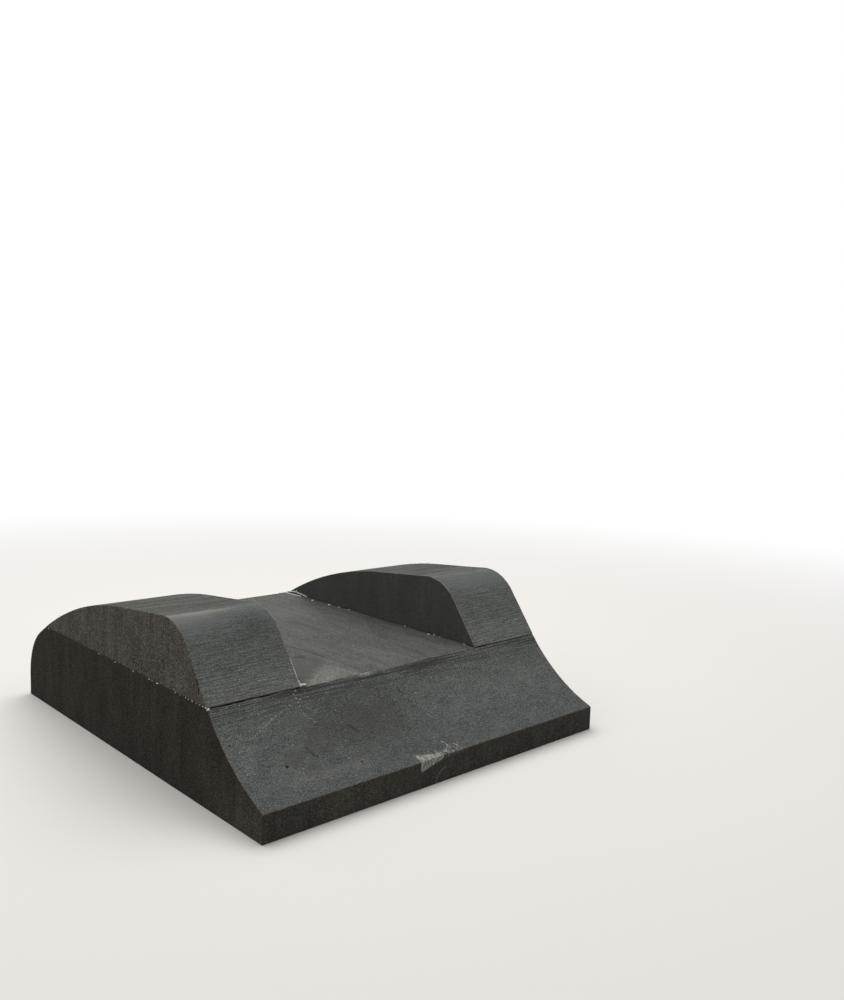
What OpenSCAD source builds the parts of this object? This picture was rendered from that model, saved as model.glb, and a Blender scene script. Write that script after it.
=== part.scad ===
// Seat-shaped foam block, glued up from three pieces of closed-cell sheet foam: a base slab and two bolsters.
// One side outline runs through the slab and the bolsters, so their cut faces are flush across the glue seam.
// Frame: origin at the middle of the underside, +X across the block, +Y from front to back, +Z up.

/* [Base slab] */
// Width of the block, side to side
block_w = 332; // [240:1:420]
// Length of the block, from the front edge to the back wall
block_l = 380; // [320:1:460]
// Thickness of the base slab, which is also the height of the glue seam
base_h = 70; // [56:1:84]
// Height of the upright front edge below the hollow slope
front_edge_h = 20; // [10:1:30]
// Distance from the front edge back to the seam line at the top of the slope
seam_setback = 68; // [54:1:84]

/* [Bolsters] */
// Width of each bolster
bolster_w = 76; // [40:1:110]
// Rise of the bolsters above the base slab
bolster_rise = 51; // [40:1:62]
// Steepness of a bolster's front, which the slope runs up to, in degrees
front_angle = 53; // [47:1:60]
// Radius of the shoulder between a bolster's front and its top
shoulder_r = 40; // [20:1:55]

/* [Falling back] */
// Fall of the straight part of a bolster's top, in degrees
top_fall = 5.5; // [2:0.5:9]
// Steepness of the back slope, in degrees
back_angle = 30; // [25:1:36]
// Straight run of the back slope, between its two curves
back_run = 5; // [1:1:25]
// Radius of the round between the back slope and the back wall
back_round_r = 50; // [25:1:65]
// Height of the upright back wall below that round
back_wall_h = 19; // [8:1:30]

/* [Hidden] */

SLAB_COLOUR = "#46443e";
BOLSTER_COLOUR = "#5a5a56";

// Largest turn from one point of a round to the next, in degrees
ARC_STEP = 2;

// A heading is the angle at which the outline climbs as it is followed from front to back, in degrees.
function along(heading) = [cos(heading), sin(heading)];
function below(heading) = [sin(heading), -cos(heading)];

// Point that a round from p has reached when its heading has turned; r is negative where the round is hollow.
function bend(p, r, from, to) = p + r * (below(from) - below(to));

// Points of that round from p to its end.
function arc(p, r, from, to) =
    let (steps = ceil(abs(to - from) / ARC_STEP))
    [for (i = [0:steps]) bend(p, r, from, from + (to - from) * i / steps)];

// Corner where the line through p at one heading meets the line through q at another.
function corner(p, p_heading, q, q_heading) =
    p + along(p_heading) * ((q - p) * below(q_heading)) / (along(p_heading) * below(q_heading));

// Hollow slope: an arc from the top of the front edge that ends at the seam in line with the bolster's front.
front_top = [0, front_edge_h];
seam_front = [seam_setback, base_h];
slope_heading = atan2(base_h - front_edge_h, seam_setback);
slope_turn = 2 * (front_angle - slope_heading);
slope_r = norm(seam_front - front_top) / (2 * sin(slope_turn / 2));

// Shoulder: the straight front is as long as the shoulder needs to reach the full rise.
front_run = (bolster_rise - shoulder_r * (1 - cos(front_angle))) / sin(front_angle);
shoulder_start = seam_front + front_run * along(front_angle);
shoulder_end = bend(shoulder_start, shoulder_r, front_angle, -top_fall);

// Back: upright wall, round and slope.
wall_top = [block_l, back_wall_h];
slope_foot = wall_top - back_round_r * (below(-back_angle) - below(-90));

// Long curve between the straight top and the back slope, tangent to both.
fall_corner = corner(shoulder_end, -top_fall, slope_foot, -back_angle);
fall_reach = min(norm(slope_foot - fall_corner) - back_run, norm(fall_corner - shoulder_end));
fall_r = fall_reach / tan((back_angle - top_fall) / 2);
fall_start = fall_corner - fall_reach * along(-top_fall);

// Side outline of the whole block, front edge at the left.
module side_outline() {
    polygon(concat(
        [[0, 0]],
        arc(front_top, -slope_r, front_angle - slope_turn, front_angle),
        arc(shoulder_start, shoulder_r, front_angle, -top_fall),
        arc(fall_start, fall_r, -top_fall, -back_angle),
        arc(slope_foot, back_round_r, -back_angle, -90),
        [[block_l, 0]]
    ));
}

// The part of the drawing below the glue seam.
module below_seam() {
    square([block_l, base_h]);
}

module slab_outline() {
    intersection() {
        side_outline();
        below_seam();
    }
}

module bolster_outline() {
    difference() {
        side_outline();
        below_seam();
    }
}

// Stands an outline up and gives it a width, centred on x_mid.
module across(x_mid, width) {
    translate([x_mid - width / 2, -block_l / 2, 0])
        rotate([90, 0, 90])
            linear_extrude(width) children();
}

// One bolster: side is -1 for the left and 1 for the right.
module bolster(side) {
    across(side * (block_w - bolster_w) / 2, bolster_w) bolster_outline();
}

module base_slab() {
    color(SLAB_COLOUR) across(0, block_w) slab_outline();
}

module left_bolster() {
    color(BOLSTER_COLOUR) bolster(-1);
}

module right_bolster() {
    color(BOLSTER_COLOUR) bolster(1);
}

base_slab();
left_bolster();
right_bolster();
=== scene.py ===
import math
import random

import bmesh
import bpy
import numpy as np
from bpy.props import FloatProperty, FloatVectorProperty, PointerProperty
from mathutils import Euler, Matrix, Vector, noise


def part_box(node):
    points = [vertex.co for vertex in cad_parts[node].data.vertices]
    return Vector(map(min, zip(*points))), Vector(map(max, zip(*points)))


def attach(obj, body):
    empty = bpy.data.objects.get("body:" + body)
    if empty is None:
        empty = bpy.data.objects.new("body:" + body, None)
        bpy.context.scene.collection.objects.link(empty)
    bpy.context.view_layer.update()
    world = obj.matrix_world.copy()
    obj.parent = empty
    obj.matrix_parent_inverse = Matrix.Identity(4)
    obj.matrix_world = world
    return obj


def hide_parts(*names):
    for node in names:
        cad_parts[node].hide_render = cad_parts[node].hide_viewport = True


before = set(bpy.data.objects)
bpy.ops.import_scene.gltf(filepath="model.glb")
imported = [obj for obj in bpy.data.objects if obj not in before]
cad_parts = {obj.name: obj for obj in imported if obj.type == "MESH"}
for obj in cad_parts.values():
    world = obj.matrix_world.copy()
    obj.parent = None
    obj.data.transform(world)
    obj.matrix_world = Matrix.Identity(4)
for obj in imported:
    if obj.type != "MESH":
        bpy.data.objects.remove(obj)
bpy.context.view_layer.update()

bl_info = {
    "name": "Glued Foam Block",
    "version": (1, 0, 0),
    "blender": (4, 5, 0),
    "location": "3D View > Sidebar > Foam Block",
    "description": "Dresses a glued-up foam block: sawn faces, sheet skin, worn edges and dried glue",
    "category": "Add Mesh",
}

# Places read from the frame, in metres
SLAB_LOW, SLAB_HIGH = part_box("base_slab")
LEFT_LOW, LEFT_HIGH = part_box("left_bolster")
RIGHT_LOW, RIGHT_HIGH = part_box("right_bolster")
FRONT_Y = SLAB_LOW.y
SEAM_FRONT_Y = LEFT_LOW.y
SEAM_BACK_Y = LEFT_HIGH.y
SEAM_Z = SLAB_HIGH.z
CROWN_Z = LEFT_HIGH.z
CROWN_Y = max((v.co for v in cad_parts["left_bolster"].data.vertices), key=lambda p: p.z).y
TOUCH = 1e-5

# Headings in the part's frame
RIGHT, LEFT = (1.0, 0.0, 0.0), (-1.0, 0.0, 0.0)
BACK, FRONT = (0.0, 1.0, 0.0), (0.0, -1.0, 0.0)
UP, DOWN = (0.0, 0.0, 1.0), (0.0, 0.0, -1.0)
UP_THE_SLOPE = (0.0, 0.6, 0.8)

# Marks on the hollow slope: points of a line, or middle and reach, in metres
SCRATCHES_ON_SLOPE = (
    (
        (-0.0945, -0.1282, 0.0624), (-0.1070, -0.1305, 0.0597),
        (-0.1190, -0.1334, 0.0566), (-0.1444, -0.1418, 0.0486),
    ),
    ((-0.0973, -0.1348, 0.0552), (-0.0896, -0.1421, 0.0483)),
)
DENTS_ON_SLOPE = (
    ((-0.1081, -0.1550, 0.0381), (-0.1044, -0.1622, 0.0334)),
    ((-0.0665, -0.1482, 0.0432), (-0.0608, -0.1539, 0.0389)),
)
PITS_ON_SLOPE = (
    ((-0.1606, -0.1420, 0.0484), 0.0008),
    ((-0.1293, -0.1630, 0.0328), 0.0015),
    ((-0.0748, -0.1748, 0.0264), 0.0010),
)
SMUDGES_AND_SHADE_ON_SLOPE = (
    ((-0.0997, -0.1516, 0.0405), (0.014, 0.014, 0.014), 0.50),
    ((-0.0405, -0.1445, 0.0462), (0.030, 0.018, 0.018), 0.38),
    ((-0.1196, -0.1598, 0.0349), (0.013, 0.010, 0.010), 0.60),
    ((-0.1090, -0.1693, 0.0293), (0.010, 0.008, 0.008), 0.60),
    # The last, broad patch is painted shade over the middle of the slope, in the smudge colour
    ((-0.0500, -0.1520, 0.0400), (0.060, 0.026, 0.026), 0.28),
)
CALM_ON_SLOPE = (
    ((-0.1020, -0.1377, 0.0523), (0.016, 0.009, 0.009), 0.60),
    ((-0.0558, -0.1680, 0.0299), (0.012, 0.009, 0.009), 0.50),
)
PALE_ON_SLOPE = ((-0.1350, -0.1755, 0.0260), (-0.0700, -0.1755, 0.0260))
# Painted shade over the middle of the slope
PAINTED_SHADE_ON_SLOPE = ((-0.055, -0.150, 0.042), (0.100, 0.050, 0.050))

# Marks on the left bolster and on the slab's front edge: middle and reach, or the ends of a line
# Painted shade on the upper front of the left bolster, near the channel
PAINTED_SHADE_ON_BOLSTER = ((-0.108, -0.088, 0.113), (0.045, 0.022, 0.022))
SLIT_IN_BOLSTER = ((LEFT_LOW.x, -0.1098, 0.0860), (LEFT_LOW.x, -0.1127, 0.0778))
# Painted highlight along the crown, at the outer end of the left bolster
HIGHLIGHT_AT_CROWN = ((-0.19, CROWN_Y - 0.010, CROWN_Z), (-0.14, CROWN_Y - 0.010, CROWN_Z))
WORN_ON_FRONT_EDGE = ((-0.097, FRONT_Y, 0.010), (0.045, 0.006, 0.030))

# Torn chip on the front top edge: it is widest at its left end and runs out to the right in loose fibres
CHIP_START = (-0.0325, FRONT_Y, 0.0200)
CHIP_END = (-0.0125, FRONT_Y, 0.0200)
CHIP_WIDTH = 0.0084
CHIP_END_WIDTH = 0.0030
FRAYED_START = (-0.0140, FRONT_Y + 0.0015, 0.0210)
FRAYED_END = (0.0120, FRONT_Y + 0.0015, 0.0208)
FIBRES = (
    (
        (-0.0021, -0.1776, 0.0251), (-0.0002, -0.1800, 0.0241),
        (0.0009, -0.1831, 0.0228), (0.0012, -0.1862, 0.0216),
    ),
    ((0.0062, -0.1824, 0.0230), (0.0075, -0.1846, 0.0222), (0.0078, -0.1878, 0.0209)),
    ((-0.0143, -0.1834, 0.0226), (-0.0137, -0.1860, 0.0216), (-0.0122, -0.1882, 0.0207)),
    (
        (0.0006, -0.1820, 0.0232), (-0.0012, -0.1843, 0.0223),
        (-0.0042, -0.1856, 0.0218), (-0.0052, -0.1880, 0.0209),
    ),
    ((-0.0310, -0.1834, 0.0227), (-0.0300, -0.1880, 0.0208)),
    ((-0.0070, -0.1858, 0.0217), (-0.0058, -0.1880, 0.0208), (-0.0038, -0.1891, 0.0204)),
)
FIBRE_RADIUS = 0.00024
LOOSE_THREADS = 26
LOOSE_THREAD_RADIUS = 0.00018
THREAD_SIDES = 6
THREAD_STEP = 0.0005
CURL_POINTS = 4
CURL_STEP = 0.0011
HAIRLINE_ON_FRONT = ((-0.0070, FRONT_Y, 0.0111), (-0.0134, FRONT_Y, 0.0082), (-0.0172, FRONT_Y, 0.0019))

# Torn nick in the channel's front edge
NICK_MIDDLE = (-0.0295, SEAM_FRONT_Y - 0.0006, SEAM_Z - 0.0008)
NICK_REACH = (0.0080, 0.0030, 0.0022)

# Marks on the channel floor: dark lines with their width and strength, and a wedge that was rubbed pale
LINES_IN_CHANNEL = (
    (((-0.0351, -0.0260), (-0.0314, -0.0492), (-0.0306, -0.0699)), 0.0023, 0.75),
    (((-0.0306, -0.0699), (-0.0292, -0.0903), (-0.0301, -0.1102)), 0.0020, 0.40),
    (((-0.0482, -0.0590), (-0.0452, -0.0607)), 0.0052, 0.85),
    (((-0.0402, -0.0722), (-0.0394, -0.0732)), 0.0030, 0.60),
    (((0.0150, 0.0426), (0.0192, 0.0188), (0.0196, -0.0072)), 0.0070, 0.40),
    (((-0.0800, -0.1050), (-0.0745, -0.1085)), 0.0042, 0.45),
)
WEDGE_TIP = (-0.0406, -0.0841, SEAM_Z)
WEDGE_LEFT = (0.641, -0.768, 0.0)
WEDGE_RIGHT = (-0.975, -0.222, 0.0)

# Specks of glue on the left seam: place along it, length and height
SPECKS_ON_LEFT_SEAM = (
    (0.1455, 0.0024, 0.0017), (0.0441, 0.0022, 0.0015), (0.0400, 0.0014, 0.0009),
    (0.0145, 0.0030, 0.0016), (-0.0158, 0.0022, 0.0015), (-0.0413, 0.0026, 0.0017),
    (-0.0460, 0.0020, 0.0010), (-0.0535, 0.0048, 0.0016), (-0.0800, 0.0022, 0.0011),
    (-0.0870, 0.0018, 0.0011), (-0.0945, 0.0016, 0.0010), (-0.0985, 0.0022, 0.0012),
    (-0.1035, 0.0026, 0.0013), (-0.1090, 0.0020, 0.0012), (-0.1135, 0.0024, 0.0013),
    (-0.1175, 0.0034, 0.0014), (-0.1213, 0.0034, 0.0018),
)
SPECKS_ON_RIGHT_SEAM = 22
SPECK_DEPTH = 0.0004
# Spatter of glue on the slope: middle and radius
GLUE_SPATTER = (
    ((-0.0953, -0.1236, 0.0678), 0.0006), ((-0.0979, -0.1249, 0.0662), 0.0005),
    ((-0.0972, -0.1270, 0.0637), 0.0006), ((-0.0965, -0.1292, 0.0612), 0.0005),
    ((-0.0940, -0.1281, 0.0625), 0.0004), ((-0.0965, -0.1310, 0.0591), 0.0004),
    ((-0.0879, -0.1250, 0.0661), 0.0004), ((-0.1045, -0.1296, 0.0608), 0.0005),
    ((-0.1184, -0.1330, 0.0571), 0.0005), ((-0.1223, -0.1339, 0.0561), 0.0004),
    ((-0.1350, -0.1367, 0.0533), 0.0004), ((-0.1610, -0.1407, 0.0495), 0.0004),
    ((-0.1559, -0.1471, 0.0441), 0.0004), ((-0.1640, -0.1248, 0.0664), 0.0004),
    ((-0.1560, -0.1245, 0.0667), 0.0004), ((-0.1420, -0.1243, 0.0670), 0.0004),
)
# Lumps of glue at the corners: middle and half sizes
GLUE_LUMPS = (
    ((-0.1652, -0.1230, 0.0686), (0.0014, 0.0009, 0.0009)),
    ((-0.0890, -0.1212, 0.0704), (0.0016, 0.0013, 0.0014)),
    ((-0.0864, -0.1210, 0.0701), (0.0013, 0.0012, 0.0009)),
    ((-0.0847, -0.1207, 0.0700), (0.0008, 0.0010, 0.0005)),
    ((-0.0899, -0.1198, 0.0722), (0.0008, 0.0008, 0.0013)),
    ((0.0893, 0.1356, 0.0728), (0.0009, 0.0011, 0.0016)),
    ((0.0860, 0.1031, SEAM_Z), (0.0011, 0.0014, 0.0007)),
    ((0.0872, 0.0766, SEAM_Z), (0.0013, 0.0015, 0.0008)),
)
# Strings of glue: points and radius
GLUE_STRINGS = (
    (
        (
            (0.0895, 0.1515, 0.0705), (0.0895, 0.1400, 0.0722),
            (0.0896, 0.1300, 0.0718), (0.0897, 0.1185, 0.0706),
        ),
        0.0007,
    ),
    (((0.0860, 0.1500, SEAM_Z), (0.0862, 0.1380, SEAM_Z), (0.0875, 0.1260, SEAM_Z)), 0.0007),
    (((0.0780, 0.1508, SEAM_Z), (0.0893, 0.1512, SEAM_Z)), 0.0006),
    (((-0.0899, -0.1200, 0.0722), (-0.0900, -0.1143, 0.0802)), 0.00024),
    (((-0.0900, -0.1143, 0.0802), (-0.0900, -0.1085, 0.0880)), 0.00016),
)
DROPS_IN_CHANNEL = 9
# Distance between the drops of a string, in radii
DROP_SPACING = 1.1

# Turn of an outline, in degrees, from which a corner counts as a sawn edge and not as part of a curve
SHARP_TURN = 15.0
# Steps in the small round of a sawn edge
ARRIS_STEPS = 4
# Growth of the mesh steps away from a sawn edge
STEP_GROWTH = 1.6
# Mesh steps along the outline and across the block, and the number of first steps to an arris
SLOPE_STEP = 0.0012
FLOOR_STEP = 0.004
BACK_STEP = 0.0025
SLAB_STEP_ACROSS = 0.0016
BOLSTER_STEP_ACROSS = 0.002
STEPS_TO_ARRIS = 5
# Shares of a piece's height that the steps up a side face take: the largest, and the first from an edge
SLAB_STEPS_UP = (0.07, 0.01)
BOLSTER_STEPS_UP = (0.035, 0.006)
# Upward part of a normal from which a face counts as flat
FLAT = 0.995
# Size of the slow bumps by which a sawn face strays, and length of the saw's ridges
STRAY_SIZE = (0.06, 0.05, 0.05)
RIDGE_LENGTH = 0.05
# Distance from an edge within which the sag and the crack of a seam die out
SLAB_SAG_REACH = 0.011
BOLSTER_SAG_REACH = 0.006
# Depth of the bumps in a finish, and of the cut cells of sawn foam
BUMP_DEPTH = 0.0002
CUT_DEPTH = 0.00014
# Studio: size of the floor, where it fades to white, and the light above the block
FLOOR_RADIUS = 6.0
FADE_START, FADE_END = 0.45, 1.5
LAMP_PLACE = (0.15, 0.35, 1.5)
LAMP_AIM = (0.0, 0.0, 0.1)
LAMP_SIZE = (1.8, 1.4)
FILM_WIDTH = 36.0
WHITE = (1.0, 1.0, 1.0, 1.0)


def length_setting(name, description, default):
    """A size that a user may change, shown in the scene's length unit."""
    return FloatProperty(
        name=name, description=description, default=default, min=0.0, precision=5,
        subtype="DISTANCE", unit="LENGTH",
    )


def angle_setting(name, description, degrees):
    """An angle that a user may change."""
    return FloatProperty(
        name=name, description=description, default=math.radians(degrees), subtype="ANGLE", unit="ROTATION",
    )


def colour_setting(name, description, default):
    """A linear colour that a user may change."""
    return FloatVectorProperty(
        name=name, description=description, default=default, min=0.0, max=1.0, size=3, subtype="COLOR",
    )


class FoamCutSettings(bpy.types.PropertyGroup):
    """How the foam was sawn and worn."""

    arris: length_setting("Arris", "How far the small round of a sawn edge reaches along its faces", 0.0011)
    side_arris: length_setting("Side arris", "Radius of the edges round the two side faces", 0.0004)
    saw_pitch: length_setting("Saw pitch", "Distance between the ridges that the saw left", 0.0026)
    saw_depth: length_setting("Saw depth", "Height of the ridges that the saw left", 0.00012)
    wander: length_setting("Wander", "How far a sawn face strays from its true form", 0.00022)
    seam_crack: length_setting("Seam crack", "Gap between the slab's edge and a bolster's lip", 0.0004)
    seam_sag: length_setting("Seam sag", "How far the front lip of a bolster hangs below the seam", 0.0008)


class FoamColourSettings(bpy.types.PropertyGroup):
    """Colours of the foam and the glue."""

    slab_side: colour_setting("Slab side", "Sawn sides of the slab", (0.0455, 0.0430, 0.0365))
    bolster_side: colour_setting("Bolster side", "Sawn sides of the bolsters", (0.110, 0.107, 0.096))
    # Sawn slope and sawn top are one foam: the cooler slope and the warmer top are largely painted light,
    # bluish on the fronts and warm on the tops
    sawn_slope: colour_setting("Sawn slope", "Slopes, sawn across the block", (0.114, 0.121, 0.117))
    sawn_top: colour_setting("Sawn top", "Tops of the bolsters and back of the slab", (0.131, 0.133, 0.119))
    front_edge: colour_setting("Front edge", "Sawn front edge of the slab", (0.055, 0.056, 0.050))
    # Painted shade: the bolster sides that face the channel are a darker copy of the bolster side
    shaded_inner_side: colour_setting("Inner side", "Bolster sides that face the channel", (0.078, 0.082, 0.074))
    sheet_skin: colour_setting("Sheet skin", "Smooth skin of the foam sheet", (0.075, 0.077, 0.067))
    # Rubbed foam is also the colour of the painted highlight along the bolsters' crown and on their arris
    # beside the channel
    rubbed_and_highlight: colour_setting("Rubbed foam", "Foam that was rubbed pale", (0.24, 0.235, 0.205))
    # Also laid as painted shade over the middle of the slope
    smudge_and_shade: colour_setting("Smudge", "Olive smudges", (0.080, 0.079, 0.066))
    torn: colour_setting("Torn foam", "Torn foam at the chip on the front edge", (0.36, 0.36, 0.33))
    nick: colour_setting("Nick", "Torn foam at the nick in the channel's edge", (0.30, 0.29, 0.31))
    glue: colour_setting("Glue", "Dried glue", (0.62, 0.62, 0.57))


class FoamStageSettings(bpy.types.PropertyGroup):
    """Floor, light and camera."""

    floor: colour_setting("Floor", "Plain pale floor", (0.80, 0.775, 0.735))
    bounce: colour_setting("Bounce", "Colour in which the floor throws light back", (0.40, 0.33, 0.235))
    ambient: FloatProperty(
        name="Ambient", description="Strength of the light from all round", default=0.50, min=0.0,
    )
    key_power: FloatProperty(
        name="Key power", description="Power of the overhead light", default=20.4, min=0.0,
        subtype="POWER", unit="POWER",
    )
    heading: angle_setting("Heading", "Turn of the camera to the right of straight ahead", 43.10)
    tilt: angle_setting("Tilt", "How far the camera looks down", 6.15)
    roll: angle_setting("Roll", "How far the camera leans", 1.69)
    place: FloatVectorProperty(
        name="Place", description="Where the camera stands", default=(-0.4752, -0.6557, 0.2774),
        size=3, subtype="TRANSLATION", unit="LENGTH",
    )
    lens: FloatProperty(
        name="Lens", description="Focal length on a 36 mm frame", default=33.654, unit="CAMERA",
    )


def direction(start, end):
    """Unit vector from one outline point to the next."""
    step = end - start
    return step / np.linalg.norm(step)


def turn_between(first, second):
    """Angle from one direction to the next, in radians, positive to the left."""
    cross = first[0] * second[1] - first[1] * second[0]
    return math.atan2(cross, float(np.dot(first, second)))


def over_line(node):
    """Side outline of a node as (y, z) points, from its lower front corner over the top to the back."""
    low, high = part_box(node)
    on_left_face = [v.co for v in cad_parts[node].data.vertices if v.co.x < low.x + TOUCH]
    upper = {(round(p.y, 6), round(p.z, 6)) for p in on_left_face if p.z > low.z + TOUCH}
    line = [(low.y, low.z)] + sorted(upper, key=lambda p: (p[0], -p[1])) + [(high.y, low.z)]
    return np.array(line)


def arris_round(before, corner, after, reach):
    """Points of the small round that takes the place of a sharp corner."""
    arrive, leave = direction(before, corner), direction(corner, after)
    turn = turn_between(arrive, leave)
    trim = reach * math.sin(abs(turn) / 2)
    radius = trim / math.tan(abs(turn) / 2)
    start = corner - arrive * trim
    inward = np.array((-arrive[1], arrive[0])) * math.copysign(1.0, turn)
    points = []
    for step in range(ARRIS_STEPS + 1):
        angle = turn * step / ARRIS_STEPS
        sweep = arrive * math.sin(abs(angle)) + inward * (1 - math.cos(angle))
        points.append(start + radius * sweep)
    return np.array(points)


def split_at_corners(loop, reach):
    """Runs of a closed outline, each from the middle of one corner's small round to the next."""
    count = len(loop)
    rounds = {}
    for i in range(count):
        before, corner, after = loop[i - 1], loop[i], loop[(i + 1) % count]
        turn = turn_between(direction(before, corner), direction(corner, after))
        if abs(math.degrees(turn)) > SHARP_TURN:
            rounds[i] = arris_round(before, corner, after, reach)
    middle = ARRIS_STEPS // 2
    corners = sorted(rounds)
    runs = []
    for first, last in zip(corners, corners[1:] + [corners[0] + count]):
        between = [loop[i % count] for i in range(first + 1, last)]
        start, end = rounds[first][middle:], rounds[last % count][: middle + 1]
        runs.append(np.array([*start, *between, *end]))
    return runs


def stations(length, step, fine):
    """Distances along a run: close together near both ends, a step apart between."""
    near = [0.0]
    gap = fine
    while gap < step and near[-1] + gap < length / 2 - step:
        near.append(near[-1] + gap)
        gap *= STEP_GROWTH
    inner = length - 2 * near[-1]
    middle = np.linspace(near[-1], length - near[-1], max(2, math.ceil(inner / step) + 1))
    return np.concatenate([near[:-1], middle, length - np.array(near[-2::-1] if len(near) > 1 else [])])


def distances(line):
    """Distance along a line at each of its points."""
    return np.concatenate([[0.0], np.cumsum(np.linalg.norm(np.diff(line, axis=0), axis=1))])


def along(line, where):
    """Points of a line at the given distances along it."""
    far = distances(line)
    return np.stack([np.interp(where, far, line[:, axis]) for axis in range(line.shape[1])], axis=1)


def walk(line, step, fine):
    """A line taken again in steps that are fine near both of its ends."""
    return along(line, stations(distances(line)[-1], step, fine))


def stretch(line, start, end):
    """The part of a line between two distances along it, with all its points."""
    far = distances(line)
    return along(line, np.concatenate([[start], far[(far > start) & (far < end)], [end]]))


def in_shares(line, shares):
    """A line taken again at the given shares of its length."""
    return along(line, np.array(shares) * distances(line)[-1])


def close_to_ends(count):
    """Shares from 0 to 1 that lie closer together near both ends."""
    even = np.linspace(0.0, 1.0, count)
    return even - 0.8 * np.sin(2 * math.pi * even) / (2 * math.pi)


def side_grid(front, top, back, bottom):
    """Grid of points inside the four edge lines of a side face."""
    s = np.linspace(0.0, 1.0, len(top))[:, None, None]
    t = np.linspace(0.0, 1.0, len(front))[None, :, None]
    lengthwise = (1 - s) * front[None] + s * back[None]
    upright = (1 - t) * bottom[:, None] + t * top[:, None]
    corners = (1 - s) * ((1 - t) * bottom[0] + t * top[0]) + s * ((1 - t) * bottom[-1] + t * top[-1])
    return lengthwise + upright - corners


def across_stations(width, radius, step):
    """Pairs of distance from the left face and inset of the outline there, for the rings of a block."""
    angles = np.radians((90.0, 60.0, 30.0))
    edge = [(radius * (1 - math.sin(a)), radius * (1 - math.cos(a))) for a in angles]
    flat = [(radius + d, 0.0) for d in stations(width - 2 * radius, step, radius)]
    return edge + flat + [(width - d, inset) for d, inset in reversed(edge)]


def outward(loop):
    """Outward unit normals of a closed outline that is followed over the top from front to back."""
    run = np.roll(loop, -1, axis=0) - np.roll(loop, 1, axis=0)
    normals = np.stack([-run[:, 1], run[:, 0]], axis=1)
    return normals / np.linalg.norm(normals, axis=1)[:, None]


class SawnBlock:
    """Mesh of a foam piece: an outline carried across the block, with a grid on each side face."""

    def __init__(self, low_x, width, front, top, back, bottom, cuts, step):
        self.low_x, self.width = low_x, width
        self.edges = (front, top, back, bottom)
        rows, columns = len(front) - 1, len(top) - 1
        self.loop_keys = (
            [(0, j) for j in range(rows)] + [(i, rows) for i in range(columns)]
            + [(columns, j) for j in range(rows, 0, -1)] + [(i, 0) for i in range(columns, 0, -1)]
        )
        self.rows, self.columns = rows, columns
        self.rings = across_stations(width, cuts.side_arris, step)
        self.points, self.faces = [], []
        self.carry_across()
        self.close_side(0)
        self.close_side(len(self.rings) - 1)

    def ring_line(self, inset):
        """The outline's points, moved inwards."""
        front, top, back, bottom = self.edges
        loop = np.concatenate([front[:-1], top[:-1], back[:0:-1], bottom[:0:-1]])
        return loop - outward(loop) * inset

    def carry_across(self):
        """Lays the rings from the left side to the right and joins each to the next."""
        count = len(self.loop_keys)
        for far, inset in self.rings:
            x = np.full((count, 1), self.low_x + far)
            self.points.append(np.concatenate([x, self.ring_line(inset)], axis=1))
        for k in range(len(self.rings) - 1):
            for i in range(count):
                j = (i + 1) % count
                self.faces.append((k * count + i, k * count + j, (k + 1) * count + j, (k + 1) * count + i))

    def close_side(self, ring):
        """Fills one side face with a grid."""
        count, rows, columns = len(self.loop_keys), self.rows, self.columns
        far, inset = self.rings[ring]
        line = self.ring_line(inset)
        place = {key: i for i, key in enumerate(self.loop_keys)}
        front = line[[place[0, j] for j in range(rows + 1)]]
        back = line[[place[columns, j] for j in range(rows + 1)]]
        top = line[[place[i, rows] for i in range(columns + 1)]]
        bottom = line[[place[i, 0] for i in range(columns + 1)]]
        inner = side_grid(front, top, back, bottom)[1:-1, 1:-1].reshape(-1, 2)
        first = sum(len(p) for p in self.points)
        self.points.append(np.concatenate([np.full((len(inner), 1), self.low_x + far), inner], axis=1))

        def number(i, j):
            if (i, j) in place:
                return ring * count + place[i, j]
            return first + (i - 1) * (rows - 1) + j - 1

        for i in range(columns):
            for j in range(rows):
                self.faces.append((number(i, j), number(i + 1, j), number(i + 1, j + 1), number(i, j + 1)))


def waves(points, size, seed):
    """Smooth noise from -1 to 1 at each point, with bumps about as wide as size gives along each axis."""
    return np.array([noise.noise(p) for p in (points / np.array(size) + seed).tolist()])


def soft_step(values, start, end):
    """0 before start, 1 past end and a smooth rise between."""
    share = np.clip((values - start) / (end - start), 0.0, 1.0)
    return share * share * (3 - 2 * share)


def new_object(name, data):
    """An object in the scene that shows a mesh, a light or a camera."""
    made = bpy.data.objects.new(name, data)
    bpy.context.scene.collection.objects.link(made)
    return made


def mesh_piece(name, block, finishes, colours):
    """A smooth-shaded mesh object of a sawn block, with its faces turned outwards."""
    mesh = bpy.data.meshes.new(name)
    mesh.from_pydata(np.concatenate(block.points).tolist(), [], block.faces)
    shell = bmesh.new()
    shell.from_mesh(mesh)
    bmesh.ops.recalc_face_normals(shell, faces=shell.faces)
    if shell.calc_volume(signed=True) < 0:
        bmesh.ops.reverse_faces(shell, faces=shell.faces)
    shell.to_mesh(mesh)
    shell.free()
    for finish in finishes:
        mesh.materials.append(foam_materials(colours)[finish])
    mesh.shade_smooth()
    return new_object(name, mesh)


def read_points(mesh, what):
    """Vertex places ("co") or normals ("normal") of a mesh as an array."""
    values = np.zeros(len(mesh.vertices) * 3)
    mesh.vertices.foreach_get(what, values)
    return values.reshape(-1, 3)


def write_points(mesh, points):
    """Puts the vertices of a mesh at new places."""
    mesh.vertices.foreach_set("co", points.ravel())
    mesh.update()


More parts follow.
